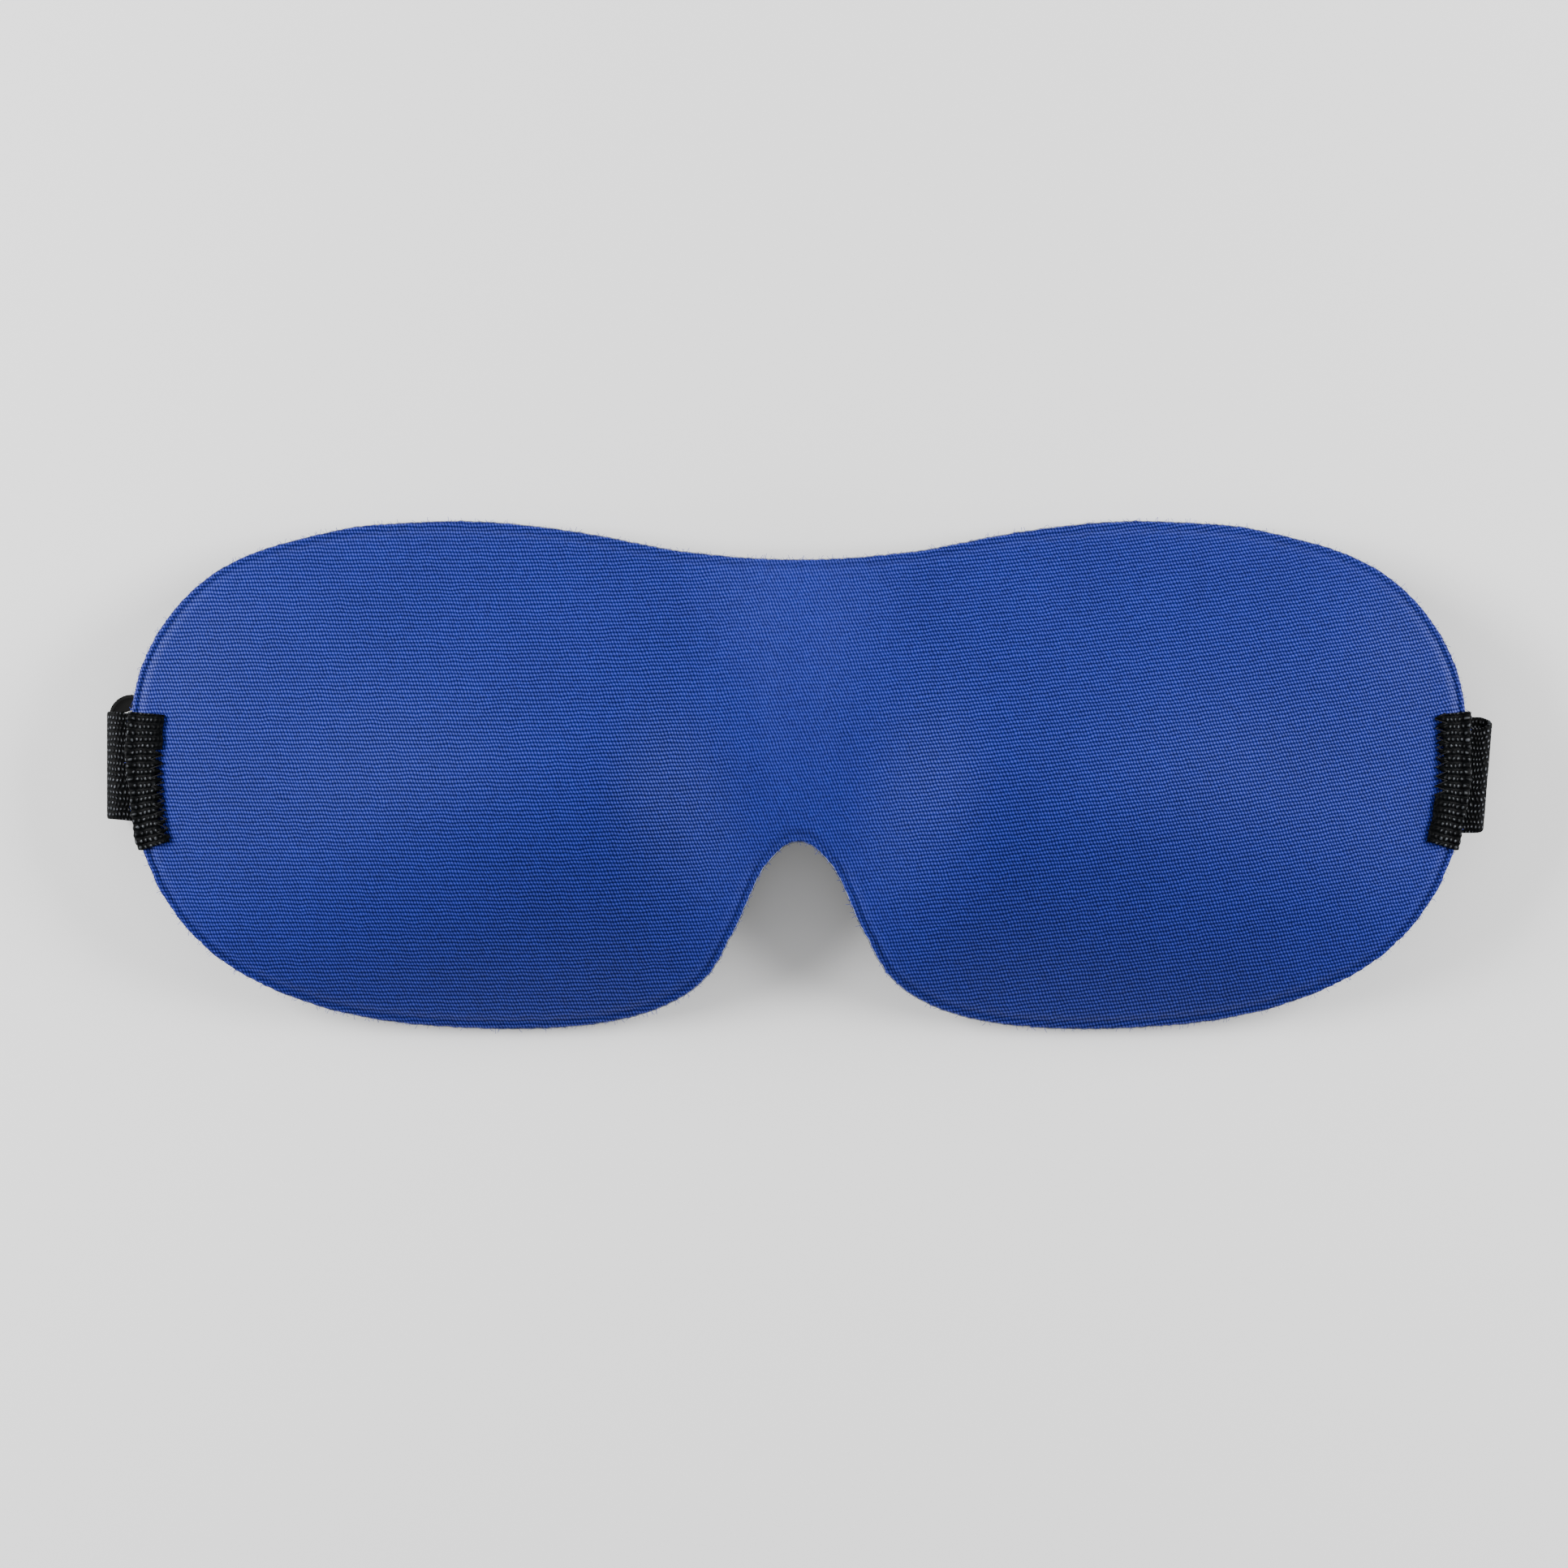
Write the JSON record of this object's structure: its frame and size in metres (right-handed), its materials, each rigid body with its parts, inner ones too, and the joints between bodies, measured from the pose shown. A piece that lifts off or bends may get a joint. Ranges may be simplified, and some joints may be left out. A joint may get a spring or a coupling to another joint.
{
  "type": "sleep eye mask",
  "caption": "Contoured foam sleep mask with domed eye cups, nose notch, elastic edge tabs and a head strap with ring and slider",
  "frame": {"origin": "middle of the footprint, on the surface that the mask lies on, with its back down", "axes": "X is the mask's width, Y points to the wearer's forehead, Z points away from the face"},
  "size_m": [0.2452, 0.0902, 0.0225],
  "materials": {
    "blue_knit": "matte",
    "foam": "matte",
    "black_knit": "matte",
    "black_elastic": "matte",
    "black_thread": "satin",
    "black_plastic": "gloss"
  },
  "bodies": {
    "mask": {"outer_fabric": "blue_knit", "foam_core": "foam", "lining_fabric": "black_knit", "left_edge_tab": "black_elastic", "right_edge_tab": "black_elastic", "left_tab_stitching": "black_thread", "right_tab_stitching": "black_thread", "left_anchor_loop": "black_elastic", "head_strap": "black_elastic", "strap_doubled_run": "black_elastic"},
    "slider": {"strap_slider": "black_plastic", "strap_slider_loop": "black_elastic", "slider_bartack": "black_thread"},
    "ring": {"strap_ring": "black_plastic"}
  },
  "joints": [
    {"name": "slider_slide", "type": "slide", "parent": "mask", "child": "slider", "axis": [-1, 0, 0], "range_m": [0, 0.13], "deforming": ["strap_doubled_run"]},
    {"name": "ring_swivel", "type": "hinge", "parent": "mask", "child": "ring", "pos_m": [-0.11766, -0.00018, 0.00235], "axis": [-0.2588, 0.9659, 0], "range_deg": [-6, 6]}
  ]
}
